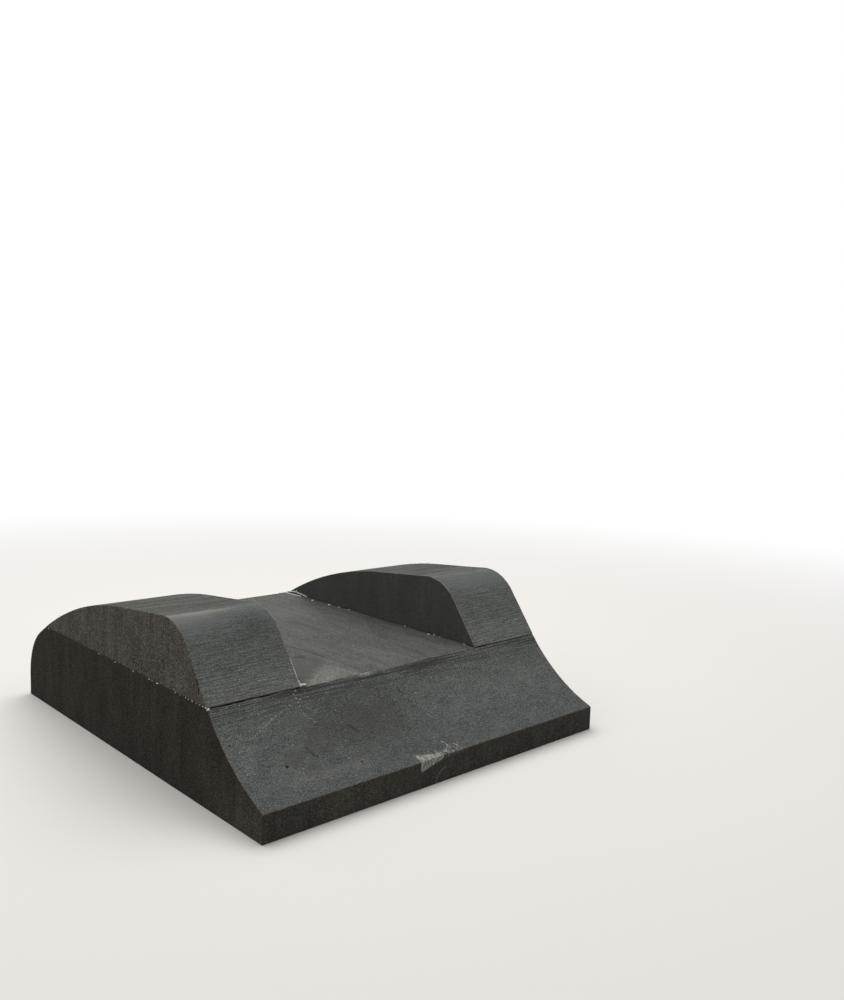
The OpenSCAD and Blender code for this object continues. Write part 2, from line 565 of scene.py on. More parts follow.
def slide_down_slope(points, drop, y, z, reach):
    """Moves an edge across the block down the line of the bolsters' front, and what is near it less."""
    run = over_line("left_bolster")[1] - over_line("left_bolster")[0]
    near = 1 - soft_step(np.hypot(points[:, 1] - y, points[:, 2] - z), 0.0005, reach)
    points[:, 1] -= drop * near * run[0] / run[1]
    points[:, 2] -= drop * near


def sawn_relief(points, sawn, cuts, stray_seed, ridge_seed):
    """How far each point strays from its true form, and the height of the saw's ridges there."""
    stray = cuts.wander * waves(points, STRAY_SIZE, stray_seed)
    ridge_size = (RIDGE_LENGTH, cuts.saw_pitch, cuts.saw_pitch)
    return stray, cuts.saw_depth * sawn * waves(points, ridge_size, ridge_seed)


def settle_foam(piece, node):
    """Hangs a foam piece under the root body and hides the frame's part in its place."""
    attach(piece, "root")
    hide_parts(node)


def face_places(mesh):
    """Middle and normal of each face of a mesh as arrays."""
    middles = np.zeros(len(mesh.polygons) * 3)
    normals = np.zeros(len(mesh.polygons) * 3)
    mesh.polygons.foreach_get("center", middles)
    mesh.polygons.foreach_get("normal", normals)
    return middles.reshape(-1, 3), normals.reshape(-1, 3)


def paint_faces(mesh, base, choices):
    """Gives each face the finish of the last choice that holds for it, or the base finish."""
    index = np.full(len(mesh.polygons), mesh.materials.find(base), dtype=np.int32)
    for finish, holds in choices.items():
        index[holds] = mesh.materials.find(finish)
    mesh.polygons.foreach_set("material_index", index)
    mesh.update()


class Finish:
    """Node tree of one finish, with a short call for each kind of node that the foam and the glue need."""

    def __init__(self, name, roughness, gloss):
        self.material = bpy.data.materials.new(name)
        self.material.use_nodes = True
        self.nodes = self.material.node_tree.nodes
        self.links = self.material.node_tree.links
        self.shader = self.nodes["Principled BSDF"]
        self.shader.inputs["Roughness"].default_value = roughness
        self.shader.inputs["Specular IOR Level"].default_value = gloss
        self.place = self.nodes.new("ShaderNodeTexCoord").outputs["Object"]
        self.colour = None

    def add(self, kind, values, output=0, **settings):
        """A node with its settings, and with each input linked or set. Gives one of its outputs."""
        node = self.nodes.new(kind)
        for key, value in settings.items():
            setattr(node, key, value)
        for key, value in values.items():
            if isinstance(value, bpy.types.NodeSocket):
                self.links.new(value, node.inputs[key])
            else:
                node.inputs[key].default_value = value
        return node.outputs[output]

    def math(self, operation, first, second):
        """Two values joined by a sum or another operation."""
        return self.add("ShaderNodeMath", {0: first, 1: second}, operation=operation)

    def both(self, first, second):
        """Mask of what two masks share."""
        return self.math("MULTIPLY", first, second)

    def vector(self, operation, first, second, output=0):
        """Two vectors joined by a sum or another operation."""
        return self.add("ShaderNodeVectorMath", {0: first, 1: second}, output, operation=operation)

    def length(self, vector):
        """Length of a vector."""
        return self.add("ShaderNodeVectorMath", {0: vector}, "Value", operation="LENGTH")

    def scaled(self, sizes, seed=0.0):
        """The place on the piece, counted in sizes along each axis."""
        counted = self.vector("MULTIPLY", self.place, tuple(1.0 / s for s in sizes))
        return self.vector("ADD", counted, (seed, seed * 0.7, seed * 1.3))

    def grain(self, sizes, detail=2.0, roughness=0.5, seed=0.0):
        """Noise whose bumps are about as wide as sizes along each axis, in metres."""
        values = {"Vector": self.scaled(sizes, seed), "Scale": 1.0, "Detail": detail, "Roughness": roughness}
        return self.add("ShaderNodeTexNoise", values)

    def level(self, value, low, high, to_low=0.0, to_high=1.0):
        """A value spread smoothly from one range to another and kept inside it."""
        values = {"Value": value, "From Min": low, "From Max": high, "To Min": to_low, "To Max": to_high}
        return self.add("ShaderNodeMapRange", values, interpolation_type="SMOOTHSTEP")

    def saw_lines(self, pitch, heading):
        """Lines that the saw left across the block, about a pitch apart along a heading."""
        count = self.vector("DOT_PRODUCT", self.place, tuple(c / pitch for c in heading), "Value")
        stray = self.grain((0.05, 0.006, 0.006), detail=1.0, seed=21.0)
        turn = self.add("ShaderNodeMath", {0: stray, 1: 2.5, 2: count}, operation="MULTIPLY_ADD")
        wave = self.math("SINE", self.math("MULTIPLY", turn, math.tau), 0.0)
        return self.level(wave, -1.0, 1.0)

    def bubbles(self, sizes, seed=0.0):
        """Distance from the nearest foam cell's middle, in cell sizes, and that cell's lot from 0 to 1."""
        cells = self.nodes.new("ShaderNodeTexVoronoi")
        cells.inputs["Scale"].default_value = 1.0
        self.links.new(self.scaled(sizes, seed), cells.inputs["Vector"])
        lot = self.add("ShaderNodeSeparateColor", {"Color": cells.outputs["Color"]})
        return cells.outputs["Distance"], lot

    def dots(self, spacing, radius, share, seed=0.0):
        """Mask of scattered round dots. share is the part of the places that have one."""
        far, lot = self.bubbles((spacing,) * 3, seed)
        dot = self.level(far, radius / spacing, 0.5 * radius / spacing)
        return self.both(dot, self.math("LESS_THAN", lot, share))

    def stroke(self, start, end, width, end_width=None, wobble=0.0, wobble_size=0.005, soft=0.7):
        """Mask of a mark between two places, which strays by up to wobble and may change its width."""
        span = np.array(end) - np.array(start)
        away = self.vector("SUBTRACT", self.place, tuple(start))
        if wobble:
            stray = self.add("ShaderNodeTexNoise", {"Vector": self.scaled((wobble_size,) * 3, 5.0)}, output=1)
            stray = self.vector("SUBTRACT", stray, (0.5, 0.5, 0.5))
            away = self.vector("ADD", away, self.vector("MULTIPLY", stray, (4 * wobble,) * 3))
        share = self.vector("DOT_PRODUCT", away, tuple(span / np.dot(span, span)), "Value")
        share = self.add("ShaderNodeClamp", {"Value": share})
        foot = self.add("ShaderNodeVectorMath", {0: tuple(span), "Scale": share}, operation="SCALE")
        growth = (end_width or width) - width
        reach = self.add("ShaderNodeMath", {0: share, 1: growth, 2: width}, operation="MULTIPLY_ADD")
        far = self.math("DIVIDE", self.length(self.vector("SUBTRACT", away, foot)), reach)
        return self.level(far, 1.0, 1.0 - soft)

    def trace(self, points, width, wobble, wobble_size=0.005):
        """Mask of a thin mark through several places."""
        mask = 0.0
        for start, end in zip(points, points[1:]):
            part = self.stroke(start, end, width, wobble=wobble, wobble_size=wobble_size)
            mask = self.math("MAXIMUM", mask, part)
        return mask

    def patch(self, centre, reach, ragged, ragged_size, soft=0.35):
        """Mask of a patch round a place, with ragged edges."""
        away = self.vector("SUBTRACT", self.place, tuple(centre))
        far = self.length(self.vector("MULTIPLY", away, tuple(1.0 / r for r in reach)))
        stray = self.grain((ragged_size,) * 3, detail=3.0, roughness=0.7, seed=3.0)
        edge = self.add("ShaderNodeMath", {0: stray, 1: ragged, 2: far}, operation="MULTIPLY_ADD")
        return self.level(edge, 1.0 + 0.5 * ragged, 1.0 + 0.5 * ragged - soft)

    def past(self, point, heading, soft):
        """Mask of all that lies past a point, seen along a heading."""
        away = self.vector("SUBTRACT", self.place, tuple(point))
        return self.level(self.vector("DOT_PRODUCT", away, tuple(heading), "Value"), 0.0, soft)

    def mix(self, share, first, second):
        """Two colours blended by a mask."""
        return self.add("ShaderNodeMix", {0: share, 6: first, 7: second}, output=2, data_type="RGBA")

    def sum_of(self, *parts):
        """Sum of values, each with its weight."""
        total = 0.0
        for value, weight in parts:
            total = self.add("ShaderNodeMath", {0: value, 1: weight, 2: total}, operation="MULTIPLY_ADD")
        return total

    def mark(self, mask, colour, strength=1.0):
        """Lays a colour over what is there, where a mask says."""
        share = self.math("MULTIPLY", mask, strength)
        self.colour = self.mix(share, self.colour, shade(colour, 1.0))

    def finish(self, height, depth):
        """Links the colour and the bump to the shader and gives the material."""
        self.links.new(self.colour, self.shader.inputs["Base Color"])
        bump = self.add("ShaderNodeBump", {"Height": height, "Distance": depth})
        self.links.new(bump, self.shader.inputs["Normal"])
        return self.material


def shade(colour, factor):
    """A colour made darker or lighter, as a node's RGBA."""
    return tuple(min(1.0, c * factor) for c in tuple(colour)[:3]) + (1.0,)


class CutFoam(Finish):
    """A sawn foam face: cut cells, the saw's streaks and slow clouds of lighter and darker foam.

    cell, saw and cloud are sizes along each axis in metres. A larger sparse leaves fewer bright cells.
    dark is the share of the colour that the darkest foam has.
    """

    def __init__(self, name, colour, cell, sparse, saw, saw_weight, cloud, cloud_weight, dark):
        super().__init__(name, 0.9, 0.06)
        far, lot = self.bubbles(cell)
        self.cells = self.math("POWER", lot, sparse)
        self.streaks = self.level(self.grain(saw, detail=2.0, roughness=0.55, seed=7.0), 0.28, 0.72)
        clouds = self.level(self.grain(cloud, detail=3.0, roughness=0.6, seed=2.0), 0.25, 0.75)
        weight = 1 - cloud_weight - saw_weight
        self.tone = self.sum_of((self.cells, weight), (self.streaks, saw_weight), (clouds, cloud_weight))
        mean_tone = weight / (sparse + 1) + (saw_weight + cloud_weight) / 2
        self.dark, self.light = dark, dark + (1 - dark) / mean_tone
        self.colour = self.in_tone(colour)
        self.height = self.sum_of((self.cells, 0.6), (far, -0.4), (self.streaks, 0.5))

    def in_tone(self, colour):
        """A colour with the foam's grain in it, which is that colour on the whole."""
        return self.mix(self.tone, shade(colour, self.dark), shade(colour, self.light))

    def recolour(self, mask, colour):
        """Gives the foam another colour where a mask says, and keeps its grain."""
        self.colour = self.mix(mask, self.colour, self.in_tone(colour))

    def done(self):
        """The finished material."""
        return self.finish(self.height, CUT_DEPTH)


def slab_side_foam(colours):
    """Side faces and front edge of the slab: dark, with fine upright saw lines."""
    foam = CutFoam(
        "sawn_slab_side", colours.slab_side, cell=(0.00036,) * 3, sparse=5.0,
        saw=(0.0010, 0.0010, 0.05), saw_weight=0.08, cloud=(0.012, 0.012, 0.05), cloud_weight=0.11, dark=0.32,
    )
    # Painted bounce light: the slab side lighter towards its low front corner
    front = foam.past((0.0, -0.10, 0.0), FRONT, 0.07)
    low = foam.past((0.0, 0.0, 0.050), DOWN, 0.05)
    foam.recolour(foam.both(front, low), shade(colours.slab_side, 1.65))
    foam.recolour(foam.past((0.0, FRONT_Y + 0.002, 0.0), FRONT, 0.0015), colours.front_edge)
    worn = foam.patch(*WORN_ON_FRONT_EDGE, ragged=0.6, ragged_size=0.02, soft=0.9)
    foam.recolour(worn, shade(colours.front_edge, 1.3))
    foam.mark(foam.dots(0.0035, 0.0006, 0.40), shade(colours.bolster_side, 1.5), 0.7)
    foam.mark(foam.trace(HAIRLINE_ON_FRONT, 0.0005, 0.0004), colours.torn, 0.45)
    chipped(foam, colours.slab_side, [c * f for c, f in zip(colours.torn, (0.98, 1.08, 1.16))])
    return foam.done()


def beside_channel(foam, depth):
    """Mask of the bolsters' foam that lies less than a depth from the channel."""
    left = foam.past((LEFT_HIGH.x - depth, 0.0, 0.0), RIGHT, 0.5 * depth)
    right = foam.past((RIGHT_LOW.x + depth, 0.0, 0.0), LEFT, 0.5 * depth)
    return foam.both(left, right)


def bolster_side_foam(colours):
    """Side faces of the bolsters: lighter and coarser. The inner ones are smoother and darker, with painted
    shade.
    """
    foam = CutFoam(
        "sawn_bolster_side", colours.bolster_side, cell=(0.00042,) * 3, sparse=5.0,
        saw=(0.0010, 0.0010, 0.03), saw_weight=0.11, cloud=(0.012, 0.012, 0.04), cloud_weight=0.13, dark=0.14,
    )
    # Painted shade on the inner faces beside the channel
    inner = beside_channel(foam, 0.002)
    calm = foam.mix(0.65, foam.in_tone(colours.shaded_inner_side), shade(colours.shaded_inner_side, 1.0))
    foam.colour = foam.mix(inner, foam.colour, calm)
    foam.mark(foam.dots(0.0040, 0.0007, 0.3, seed=4.0), shade(colours.slab_side, 0.4), 0.8)
    foam.mark(foam.stroke(*SLIT_IN_BOLSTER, 0.0009, wobble=0.0006), (0.01,) * 3, 0.9)
    return foam.done()


def lined_top(foam, colour, dark):
    """A colour with long lines that the saw left across the block. A line keeps the share dark of it."""
    bands = foam.level(foam.grain((0.10, 0.006, 0.006), detail=1.0, seed=12.0), 0.40, 0.60)
    lines = foam.level(foam.grain((0.07, 0.0016, 0.0016), detail=2.0, seed=17.0), 0.38, 0.62)
    worn = foam.sum_of((bands, 0.50), (lines, 0.50))
    return foam.mix(worn, foam.in_tone(colour), foam.in_tone(shade(colour, dark)))


def across_bolsters(y, z):
    """Ends of a line that runs across both bolsters and a little past them."""
    return ((LEFT_LOW.x - 0.02, y, z), (RIGHT_HIGH.x + 0.02, y, z))


def crown_highlight(foam, colours):
    """Painted highlight: the pale line along the bolsters' crown, strongest at the outer end of the left one.
    """
    foam.mark(foam.stroke(*HIGHLIGHT_AT_CROWN, 0.016, 0.010, soft=1.0), colours.rubbed_and_highlight, 0.32)
    crown = foam.stroke(*across_bolsters(CROWN_Y - 0.0045, CROWN_Z), 0.0065, soft=1.0)
    crown = foam.both(crown, foam.past((0.0, CROWN_Y + 0.001, 0.0), FRONT, 0.003))
    outer = foam.level(foam.past((-0.095, 0.0, 0.0), LEFT, 0.05), 0.0, 1.0, 0.2, 1.0)
    patchy = foam.level(foam.grain((0.03, 0.010, 0.010), seed=1.0), 0.20, 0.60, 0.5, 1.0)
    foam.mark(foam.both(crown, foam.both(outer, patchy)), colours.rubbed_and_highlight, 0.85)


def bolster_top_foam(colours):
    """Front and top of the bolsters: fine and cool in front, streaked and warmer on top, with a painted
    highlight along the crown. The cool front and warm top are largely painted light.
    """
    grey = colours.sawn_slope
    foam = CutFoam(
        "sawn_bolster_top", shade(grey, 1.12), cell=(0.0006, 0.00028, 0.00028), sparse=2.0,
        saw=(0.010, 0.0007, 0.0007), saw_weight=0.26, cloud=(0.025,) * 3, cloud_weight=0.05, dark=0.30,
    )
    # Painted light: the bolster front lighter towards the seam
    foam.recolour(foam.past((0.0, 0.0, SEAM_Z + 0.022), DOWN, 0.016), shade(grey, 1.42))
    foam.mark(foam.saw_lines(0.0023, UP_THE_SLOPE), shade(grey, 0.55), 0.40)
    # Painted shade: the upper front of the bolster darker near the channel, where the smooth band below the
    # crown is taken out
    painted_shade = foam.patch(*PAINTED_SHADE_ON_BOLSTER, ragged=0.5, ragged_size=0.02, soft=0.9)
    foam.recolour(painted_shade, shade(grey, 0.74))
    calm = foam.stroke(*across_bolsters(CROWN_Y - 0.017, CROWN_Z - 0.004), 0.020, soft=1.0)
    calm = foam.math("SUBTRACT", calm, foam.both(painted_shade, calm))
    foam.mark(calm, shade(grey, 1.05), 0.65)
    # Warmer, streaked top: its warmth is largely painted light
    top = foam.past((0.0, CROWN_Y - 0.010, 0.0), BACK, 0.026)
    foam.colour = foam.mix(top, foam.colour, lined_top(foam, colours.sawn_top, 0.46))
    # Painted highlight along the crown
    crown_highlight(foam, colours)
    # Pale line on the arris beside the channel: painted highlight, partly foam rubbed pale
    worn = foam.level(foam.grain((0.006,) * 3, detail=3.0, seed=18.0), 0.35, 0.65, 0.2, 1.0)
    foam.mark(foam.both(beside_channel(foam, 0.0014), worn), colours.rubbed_and_highlight, 0.75)
    return foam.done()


def chipped(foam, dark, pale):
    """The torn, pale chip on the slab's front top edge."""
    torn = foam.stroke(
        CHIP_START, CHIP_END, CHIP_WIDTH, CHIP_END_WIDTH, wobble=0.0010, wobble_size=0.0022, soft=0.15,
    )
    torn = foam.both(torn, foam.past(CHIP_START, RIGHT, 0.0006))
    frayed = foam.stroke(FRAYED_START, FRAYED_END, 0.0055, 0.0030, wobble=0.0015, wobble_size=0.003, soft=0.5)
    far, lot = foam.bubbles((0.0008, 0.0026, 0.0026), seed=6.0)
    threads = foam.both(foam.level(lot, 0.15, 0.75), foam.level(far, 0.75, 0.35, 0.4, 1.0))
    # Painted shadow under the loose fibres
    foam.mark(frayed, shade(dark, 0.8), 0.5)
    foam.mark(foam.both(frayed, threads), pale, 0.40)
    foam.mark(torn, shade(pale, 0.48))
    foam.mark(foam.both(torn, threads), shade(pale, 1.25))


def nicked(foam, colours):
    """The torn nick in the channel's front edge."""
    rags = foam.level(foam.grain((0.0015, 0.0008, 0.0008), detail=2.0, seed=14.0), 0.35, 0.60)
    nick = foam.patch(NICK_MIDDLE, NICK_REACH, 0.9, 0.003)
    # Painted shade in the nick, under its torn flap
    foam.mark(nick, shade(colours.slab_side, 0.8), 0.9)
    foam.mark(foam.both(nick, rags), colours.nick, 0.9)


def slope_foam(colours):
    """Hollow slope and back of the slab: cool grey, streaked under the seam, with smudges, scratches and
    painted shade over its middle and towards its bottom.
    """
    grey = colours.sawn_slope
    foam = CutFoam(
        "sawn_slope", grey, cell=(0.0005, 0.00035, 0.00035), sparse=3.0,
        saw=(0.008, 0.0006, 0.0006), saw_weight=0.12, cloud=(0.015,) * 3, cloud_weight=0.12, dark=0.38,
    )
    # Painted shade: the slope darker towards its bottom
    foam.recolour(foam.past((0.0, 0.0, SEAM_Z - 0.028), DOWN, 0.018), shade(grey, 0.82))
    behind = foam.past((0.0, 0.0, 0.0), BACK, 0.02)
    foam.colour = foam.mix(behind, foam.colour, lined_top(foam, shade(colours.sawn_top, 0.88), 0.66))
    # Painted shade: a broad, soft darkening of the middle of the slope
    painted_shade = foam.patch(*PAINTED_SHADE_ON_SLOPE, ragged=0.5, ragged_size=0.03, soft=1.0)
    foam.recolour(foam.math("MULTIPLY", painted_shade, 0.8), shade(grey, 0.60))
    for centre, reach, strength in CALM_ON_SLOPE:
        foam.mark(foam.patch(centre, reach, 0.9, 0.010, 0.9), grey, strength)
    upper = foam.past((0.0, 0.0, SEAM_Z - 0.016), UP, 0.014)
    upper = foam.both(upper, foam.past((0.0, 0.0, 0.0), FRONT, 0.02))
    dark_lines = foam.level(foam.grain((0.05, 0.0012, 0.0012), detail=2.0, seed=12.0), 0.42, 0.60)
    foam.mark(foam.both(upper, dark_lines), shade(grey, 0.30), 0.80)
    # Olive smudges; the last, broad one is painted shade
    for centre, reach, strength in SMUDGES_AND_SHADE_ON_SLOPE:
        foam.mark(foam.patch(centre, reach, 1.2, 0.012, 0.9), colours.smudge_and_shade, strength)
    pale = foam.stroke(*PALE_ON_SLOPE, 0.0085, wobble=0.003, wobble_size=0.010, soft=1.0)
    specks = foam.level(foam.grain((0.0010,) * 3, detail=1.0, seed=16.0), 0.40, 0.60)
    foam.mark(foam.both(pale, specks), shade(colours.rubbed_and_highlight, 0.9), 0.42)
    beads = foam.level(foam.grain((0.0011,) * 3, seed=4.0), 0.42, 0.58)
    for points in SCRATCHES_ON_SLOPE:
        foam.mark(foam.both(foam.trace(points, 0.0006, 0.0005), beads), colours.glue, 0.28)
    for centre, radius in PITS_ON_SLOPE:
        foam.mark(foam.patch(centre, (radius,) * 3, 0.8, 0.002), (0.012, 0.012, 0.011), 0.9)
    for points in DENTS_ON_SLOPE:
        foam.mark(foam.trace(points, 0.0014, 0.0010), (0.02, 0.022, 0.022), 0.55)
    foam.mark(foam.dots(0.0055, 0.0007, 0.40, seed=4.0), shade(grey, 2.6), 0.7)
    foam.mark(foam.dots(0.0080, 0.0007, 0.30, seed=9.0), (0.015, 0.015, 0.014), 0.8)
    chipped(foam, colours.slab_side, shade(colours.torn, 0.95))
    nicked(foam, colours)
    return foam.done()


def skin_foam(colours):
    """The sheet's own moulded skin: smooth, with faint streaks, smears and pin holes."""
    skin = Finish("sheet_skin", 0.6, 0.15)
    clouds = skin.level(skin.grain((0.045, 0.06, 0.05), detail=4.0, roughness=0.6), 0.3, 0.7)
    lot = skin.bubbles((0.0008,) * 3)[1]
    fine = skin.math("MULTIPLY", lot, lot)
    rub = skin.level(skin.grain((0.006, 0.05, 0.05), detail=3.0, seed=6.0), 0.35, 0.75)
    tone = skin.sum_of((clouds, 0.15), (fine, 0.65), (rub, 0.20))
    skin.colour = skin.mix(tone, shade(colours.sheet_skin, 0.35), shade(colours.sheet_skin, 2.00))
    beside = skin.past(WEDGE_TIP, [-c for c in WEDGE_LEFT], 0.005)
    beside = skin.both(beside, skin.past((0.0, -0.045, 0.0), FRONT, 0.05))
    skin.mark(beside, shade(colours.sheet_skin, 0.50), 0.60)
    wedge = skin.past(WEDGE_TIP, WEDGE_LEFT, 0.003)
    wedge = skin.both(wedge, skin.past(WEDGE_TIP, WEDGE_RIGHT, 0.004))
    fuller = skin.level(skin.past(WEDGE_TIP, FRONT, 0.04), 0.0, 1.0, 0.6, 1.0)
    wedge = skin.both(wedge, fuller)
    wipes = skin.grain((0.03, 0.006, 0.03), detail=3.0, roughness=0.6, seed=3.0)
    wipes = skin.level(wipes, 0.25, 0.75, 0.2, 1.0)
    wipes = skin.both(wipes, skin.math("ADD", fine, 0.5))
    skin.mark(skin.both(wedge, wipes), colours.rubbed_and_highlight, 0.55)
    for points, width, strength in LINES_IN_CHANNEL:
        line = skin.trace([(x, y, SEAM_Z) for x, y in points], width, 0.0008, 0.02)
        skin.mark(line, shade(colours.slab_side, 0.4), strength)
    holes = skin.dots(0.015, 0.0007, 0.3)
    skin.mark(holes, shade(colours.slab_side, 0.6), 0.7)
    nicked(skin, colours)
    return skin.finish(skin.sum_of((fine, 0.5), (clouds, 0.5), (holes, -1.5)), BUMP_DEPTH)


def clouded_finish(name, roughness, gloss, size, detail, dark, light):
    """A plain finish with clouds of a darker and a lighter colour."""
    made = Finish(name, roughness, gloss)
    clouds = made.level(made.grain((size,) * 3, detail=detail), 0.3, 0.7)
    made.colour = made.mix(clouds, dark, light)
    return made.finish(clouds, BUMP_DEPTH)


def foam_materials(colours):
    """The finishes, made once and then shared by the pieces."""
    made = bpy.data.materials
    if "dried_glue" not in made:
        slab_side_foam(colours)
        bolster_side_foam(colours)
        slope_foam(colours)
        bolster_top_foam(colours)
        skin_foam(colours)
        film, torn, glue = colours.slab_side, colours.torn, colours.glue
        # Near-black glue film: partly painted shade, seen in the crack at the seam
        clouded_finish("seam_film", 0.8, 0.1, 0.004, 3.0, shade(film, 0.15), shade(film, 0.35))
        clouded_finish("torn_foam", 0.9, 0.05, 0.0012, 2.0, shade(torn, 0.9), shade(torn, 1.6))
        clouded_finish("dried_glue", 0.4, 0.5, 0.0015, 2.0, shade(glue, 0.7), shade(glue, 1.15))
    return made


def slab_block(cuts):
    """The slab as it was sawn: slope, floor and round back in one run, upright front edge and back wall."""
    front, slope, floor, back, under = split_at_corners(over_line("base_slab"), cuts.arris)
    wall_top = np.argmax(back[:, 0] > SLAB_HIGH.y - TOUCH)
    round_back, wall = back[: wall_top + 1], back[wall_top:]
    fine = cuts.arris / STEPS_TO_ARRIS
    top = np.concatenate([
        walk(slope, SLOPE_STEP, fine)[:-1],
        walk(floor, FLOOR_STEP, fine)[:-1],
        walk(round_back, BACK_STEP, fine),
    ])
    upright = stations(1.0, *SLAB_STEPS_UP)
    return SawnBlock(
        SLAB_LOW.x, SLAB_HIGH.x - SLAB_LOW.x,
        front=in_shares(front, upright), top=top, back=in_shares(wall, 1 - upright),
        bottom=in_shares(under, 1 - close_to_ends(len(top))), cuts=cuts, step=SLAB_STEP_ACROSS,
    )


def paint_slab(mesh):
    """Puts sheet skin on the flat faces, near-black glue film in the seams, partly painted shade for the
    crack, and sawn foam on the rest.
    """
    middles, normals = face_places(mesh)
    flat = np.abs(normals[:, 2]) > FLAT
    on_top = ((normals[:, 2] > 0.1) | (normals[:, 1] > 0.5)) & (np.abs(normals[:, 0]) < 0.5)
    glued = flat & (middles[:, 2] > SEAM_Z - TOUCH) & (np.abs(middles[:, 0]) > RIGHT_LOW.x + 0.0005)
    paint_faces(mesh, "sawn_slab_side", {"sawn_slope": on_top, "sheet_skin": flat, "seam_film": glued})


def open_seam(points, cuts):
    """Lets the slab's edge follow the sagged lips and opens a crack there, widest at the left corner."""
    straight = points * (1, 0, 0)
    parted = 0.7 + 1.2 * waves(straight, (0.009,) * 3, 2.5) + 1.3 * waves(straight, (0.0035,) * 3, 8.5)
    parted = np.maximum(parted, 0.0)
    parted += soft_step(-points[:, 0], 0.12, 0.16)
    drop = cuts.seam_sag + cuts.seam_crack * parted
    slide_down_slope(points, drop, SEAM_FRONT_Y, SEAM_Z, SLAB_SAG_REACH)


def tear_nick(points):
    """Sinks the torn nick into the channel's front edge."""
    torn = 1 - soft_step(np.linalg.norm((points - NICK_MIDDLE) / NICK_REACH, axis=1), 0.5, 1.1)
    points[:, 2] -= torn * (0.0009 + 0.0006 * waves(points, (0.002,) * 3, 9.0))


class FOAMBLOCK_OT_base_slab(bpy.types.Operator):
    """Builds the base slab: hollow slope, channel floor, rounded back and underside"""

    bl_idname = "foam_block.base_slab"
    bl_label = "Base Slab"

    def execute(self, context):
        cuts, colours = context.scene.foam_cuts, context.scene.foam_colours
        finishes = ("sawn_slab_side", "sawn_slope", "sheet_skin", "seam_film")
        piece = mesh_piece("foam_base_slab", slab_block(cuts), finishes, colours)
        paint_slab(piece.data)
        points, facing = read_points(piece.data, "co"), read_points(piece.data, "normal")
        sawn = soft_step(facing[:, 2], 0.1, 0.3) * (1 - soft_step(facing[:, 2], FLAT - 0.01, FLAT))
        stray, ridges = sawn_relief(points, sawn, cuts, 1.7, 3.1)
        stray *= soft_step(points[:, 2], 0.0, 0.004)
        points = points + facing * (stray + ridges)[:, None]
        open_seam(points, cuts)
        tear_nick(points)
        write_points(piece.data, points)
        settle_foam(piece, "base_slab")
        return {"FINISHED"}


def bolster_block(node, cuts):
    """A bolster as it was sawn: straight front, shoulder and falling top, and the thin tip at the back."""
    low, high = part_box(node)
    line = over_line(node)
    over, under = split_at_corners(line, cuts.arris)
    straight_end = np.linalg.norm(line[1] - line[0])
    over_end = distances(over)[-1]
    tip_start = over_end - np.linalg.norm(line[-1] - line[-2])
    front, tip = stretch(over, 0.0, straight_end), stretch(over, tip_start, over_end)
    top = walk(stretch(over, straight_end, tip_start), SLOPE_STEP, SLOPE_STEP)
    upright = stations(1.0, *BOLSTER_STEPS_UP)
    return SawnBlock(
        low.x, high.x - low.x,
        front=in_shares(front, upright), top=top, back=in_shares(tip, 1 - upright),
        bottom=in_shares(under, 1 - close_to_ends(len(top))), cuts=cuts, step=BOLSTER_STEP_ACROSS,
    )


def paint_bolster(mesh):
    """Puts near-black glue film underneath, partly painted shade for the crack, and sawn foam on the rest."""
    normals = face_places(mesh)[1]
    on_side, glued = np.abs(normals[:, 0]) > 0.5, normals[:, 2] < -0.9
    paint_faces(mesh, "sawn_bolster_top", {"sawn_bolster_side": on_side, "seam_film": glued})


def bolster_piece(node, cuts, colours):
    """One bolster, with a front lip that hangs a little below the seam."""
    finishes = ("sawn_bolster_side", "sawn_bolster_top", "seam_film")
    piece = mesh_piece(f"foam_{node}", bolster_block(node, cuts), finishes, colours)
    paint_bolster(piece.data)
    points, facing = read_points(piece.data, "co"), read_points(piece.data, "normal")
    sawn = soft_step(facing[:, 2], 0.1, 0.3)
    stray, ridges = sawn_relief(points, sawn, cuts, 4.3, 6.1)
    points = points + facing * (stray + ridges)[:, None]
    slide_down_slope(points, cuts.seam_sag, SEAM_FRONT_Y, SEAM_Z, BOLSTER_SAG_REACH)
    write_points(piece.data, points)
    settle_foam(piece, node)


class FOAMBLOCK_OT_bolsters(bpy.types.Operator):
    """Builds the two bolsters on top of the slab"""

    bl_idname = "foam_block.bolsters"
    bl_label = "Bolsters"

    def execute(self, context):
        cuts, colours = context.scene.foam_cuts, context.scene.foam_colours
        for node in ("left_bolster", "right_bolster"):
            bolster_piece(node, cuts, colours)
        return {"FINISHED"}


def glue_drop(shell, place, size, seed):
    """Adds one lumpy drop of glue to a shell."""
    made = bmesh.ops.create_icosphere(shell, subdivisions=2, radius=1.0)
    for vertex in made["verts"]:
        lump = 1.0 + 0.45 * noise.noise(vertex.co * 1.4 + Vector((seed, seed * 1.7, -seed)))
        vertex.co = Vector(place) + Vector(c * s * lump for c, s in zip(vertex.co, size))


def glue_string(shell, points, radius, seed):
    """Adds a string of drops that runs through the given points."""
    step = DROP_SPACING * radius
    for count, place in enumerate(walk(np.array(points), step, step)):
        swell = 1.0 + 0.5 * noise.noise(Vector((count * 0.37, seed, 0.0)))
        glue_drop(shell, place, (radius * swell,) * 3, seed + count)


